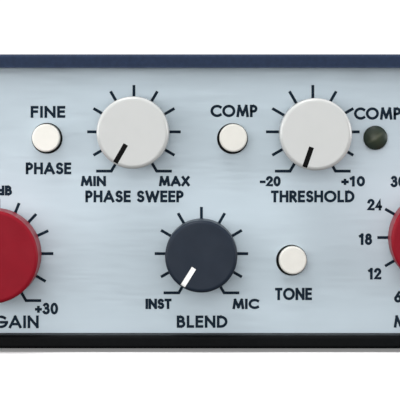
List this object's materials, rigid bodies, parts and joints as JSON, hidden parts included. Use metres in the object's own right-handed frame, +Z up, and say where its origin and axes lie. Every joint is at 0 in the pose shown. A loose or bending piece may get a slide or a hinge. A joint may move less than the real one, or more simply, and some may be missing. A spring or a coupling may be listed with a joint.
{
  "type": "microphone preamp",
  "caption": "Desktop microphone and instrument preamp: a flat metal casing with recessed panels, rotary knobs, push buttons, lamps and rear audio connectors.",
  "frame": {"origin": "on the surface the feet stand on, under the centre of the whole object's bounding box", "axes": "+Z up; the front panel faces -Y; +X is the right-hand side as the front is seen"},
  "size_m": [0.216, 0.1736, 0.0623],
  "materials": {
    "cover_navy": "satin dark blue paint",
    "tray_black": "satin black paint",
    "rear_black": "fine textured black paint",
    "panel_satin": "satin anodised, slightly blue",
    "rail_aluminium": "mill finish",
    "foot_rubber": "matte",
    "zinc_steel": "zinc plated",
    "black_steel": "black oxide",
    "board_green": "solder mask",
    "brass": "plain",
    "knob_red": "satin moulded",
    "knob_white": "satin moulded",
    "knob_slate": "satin moulded",
    "shaft_steel": "turned",
    "pot_metal": "plated",
    "nickel": "nickel plated",
    "switch_black": "moulded",
    "rocker_black": "moulded",
    "cap_cream": "satin moulded",
    "cap_black": "satin moulded",
    "lamp_green": "dark tinted lens, unlit",
    "screening_can": "drawn",
    "laminations": "varnished",
    "capacitor_sleeve": "shrunk sleeve",
    "heat_sink_black": "black anodised",
    "ribbon_grey": "flat cable and headers",
    "connector_nickel": "nickel plated die casting",
    "contact_gold": "gold plated",
    "jack_black": "moulded",
    "latch_metal": "plated"
  },
  "bodies": {
    "case": {"blend_pot": "pot_metal", "board_screws": "zinc_steel", "board_standoffs": "brass", "bottom_tray": "tray_black", "case_screws": "black_steel", "comp_led": "lamp_green", "connector_screws": "black_steel", "control_board": "board_green", "dc_inlet": "jack_black", "dc_inlet_pin": "nickel", "electrolytic_capacitors": "capacitor_sleeve", "front_panel": "panel_satin", "heat_sink": "heat_sink_black", "inst_gain_pot": "pot_metal", "instrument_jack": "jack_black", "jack_nuts": "nickel", "left_side_rail": "rail_aluminium", "line_output_connector": "connector_nickel", "line_output_pins": "contact_gold", "main_board": "board_green", "meter_leds": "lamp_green", "mic_gain_switch": "pot_metal", "mic_input_insert": "jack_black", "mic_input_socket": "connector_nickel", "mic_input_transformer": "screening_can", "output_transformer": "laminations", "panel_screws": "black_steel", "phase_sweep_pot": "pot_metal", "pot_nuts": "nickel", "pot_washers": "nickel", "power_led": "lamp_green", "power_switch_frame": "switch_black", "rear_panel": "rear_black", "ribbon_cable": "ribbon_grey", "right_side_rail": "rail_aluminium", "rubber_feet": "foot_rubber", "switch_bodies": "switch_black", "threshold_pot": "pot_metal", "thru_jack": "jack_black", "top_cover": "cover_navy"},
    "inst_gain_control": {"inst_gain_knob": "knob_red", "inst_gain_shaft": "shaft_steel"},
    "phase_sweep_control": {"phase_sweep_knob": "knob_white", "phase_sweep_shaft": "shaft_steel"},
    "blend_control": {"blend_knob": "knob_slate", "blend_shaft": "shaft_steel"},
    "threshold_control": {"threshold_knob": "knob_white", "threshold_shaft": "shaft_steel"},
    "mic_gain_control": {"mic_gain_knob": "knob_red", "mic_gain_shaft": "shaft_steel"},
    "fine_phase_push": {"fine_phase_button": "cap_cream"},
    "comp_push": {"comp_button": "cap_cream"},
    "tone_push": {"tone_button": "cap_cream"},
    "pad_push": {"pad_button": "cap_cream"},
    "phantom_push": {"phantom_button": "cap_cream"},
    "highpass_push": {"highpass_button": "cap_cream"},
    "polarity_push": {"polarity_button": "cap_cream"},
    "ground_lift_push": {"ground_lift_button": "cap_black"},
    "rocker": {"power_rocker": "rocker_black"},
    "latch": {"mic_input_latch": "latch_metal"}
  },
  "joints": [
    {"name": "inst_gain_turn", "type": "hinge", "parent": "case", "child": "inst_gain_control", "pos_m": [-0.0434, -0.07125, 0.0203], "axis": [0, 1, 0], "range_deg": [0, 300]},
    {"name": "phase_sweep_turn", "type": "hinge", "parent": "case", "child": "phase_sweep_control", "pos_m": [-0.0142, -0.07125, 0.046], "axis": [0, 1, 0], "range_deg": [0, 300]},
    {"name": "blend_turn", "type": "hinge", "parent": "case", "child": "blend_control", "pos_m": [0, -0.07125, 0.0203], "axis": [0, 1, 0], "range_deg": [0, 300]},
    {"name": "threshold_turn", "type": "hinge", "parent": "case", "child": "threshold_control", "pos_m": [0.0238, -0.07125, 0.04565], "axis": [0, 1, 0], "range_deg": [0, 300]},
    {"name": "mic_gain_turn", "type": "hinge", "parent": "case", "child": "mic_gain_control", "pos_m": [0.049, -0.07125, 0.0238], "axis": [0, 1, 0], "range_deg": [0, 330]},
    {"name": "fine_phase_press", "type": "slide", "parent": "case", "child": "fine_phase_push", "axis": [0, 1, 0], "range_m": [0, 0.0018], "stiffness_N_per_m": 300, "springref_m": -0.001},
    {"name": "comp_press", "type": "slide", "parent": "case", "child": "comp_push", "axis": [0, 1, 0], "range_m": [0, 0.0018], "stiffness_N_per_m": 300, "springref_m": -0.001},
    {"name": "tone_press", "type": "slide", "parent": "case", "child": "tone_push", "axis": [0, 1, 0], "range_m": [0, 0.0018], "stiffness_N_per_m": 300, "springref_m": -0.001},
    {"name": "pad_press", "type": "slide", "parent": "case", "child": "pad_push", "axis": [0, 1, 0], "range_m": [0, 0.0018], "stiffness_N_per_m": 300, "springref_m": -0.001},
    {"name": "phantom_press", "type": "slide", "parent": "case", "child": "phantom_push", "axis": [0, 1, 0], "range_m": [0, 0.0018], "stiffness_N_per_m": 300, "springref_m": -0.001},
    {"name": "highpass_press", "type": "slide", "parent": "case", "child": "highpass_push", "axis": [0, 1, 0], "range_m": [0, 0.0018], "stiffness_N_per_m": 300, "springref_m": -0.001},
    {"name": "polarity_press", "type": "slide", "parent": "case", "child": "polarity_push", "axis": [0, 1, 0], "range_m": [0, 0.0018], "stiffness_N_per_m": 300, "springref_m": -0.001},
    {"name": "ground_lift_press", "type": "slide", "parent": "case", "child": "ground_lift_push", "axis": [0, -1, 0], "range_m": [0, 0.0018], "stiffness_N_per_m": 300, "springref_m": -0.001},
    {"name": "power_rocker_tip", "type": "hinge", "parent": "case", "child": "rocker", "pos_m": [0.062, 0.07725, 0.0314], "axis": [1, 0, 0], "range_deg": [0, 20]},
    {"name": "mic_latch_press", "type": "slide", "parent": "case", "child": "latch", "axis": [0, -1, 0], "range_m": [0, 0.0015], "stiffness_N_per_m": 400, "springref_m": -0.001}
  ]
}
